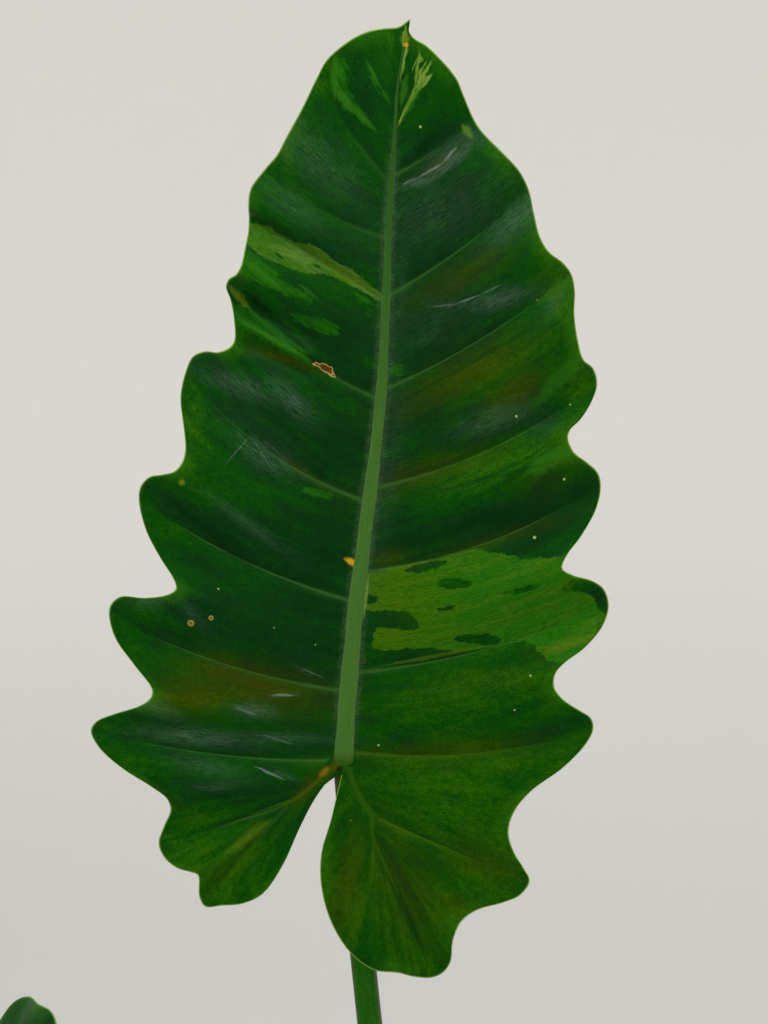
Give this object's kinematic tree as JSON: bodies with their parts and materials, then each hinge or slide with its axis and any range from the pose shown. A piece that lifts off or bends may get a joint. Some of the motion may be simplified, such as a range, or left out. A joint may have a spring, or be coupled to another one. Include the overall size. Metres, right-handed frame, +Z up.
{
  "type": "potted philodendron",
  "caption": "Potted philodendron: long wavy-lobed leaves with side veins on tall stalks, a short thick stem, soil and a plain clay pot with a rim and drain holes.",
  "frame": {"origin": "middle of the pot's underside", "axes": "+Z up from the pot's underside, -Y towards the side that the large leaf faces, +X to its viewer's right"},
  "size_m": [0.696, 0.5331, 0.956],
  "materials": {
    "clay": "matte unglazed terracotta",
    "soil": "loose dark potting mix with bark",
    "stem": "matte green-brown with leaf scars",
    "new_leaf": "smooth satin green",
    "stalk": "smooth satin green with short pale streaks",
    "blade": "leathery satin dark green with paler streaks and veins"
  },
  "bodies": {
    "root": {"pot": "clay", "soil": "soil", "stem": "stem", "new_leaf": "new_leaf", "leaf_1_stalk": "stalk", "leaf_2_stalk": "stalk", "leaf_3_stalk": "stalk", "leaf_4_stalk": "stalk", "leaf_5_stalk": "stalk", "leaf_6_stalk": "stalk", "leaf_1_blade": "blade", "leaf_2_blade": "blade", "leaf_3_blade": "blade", "leaf_4_blade": "blade", "leaf_5_blade": "blade", "leaf_6_blade": "blade"}
  },
  "joints": []
}
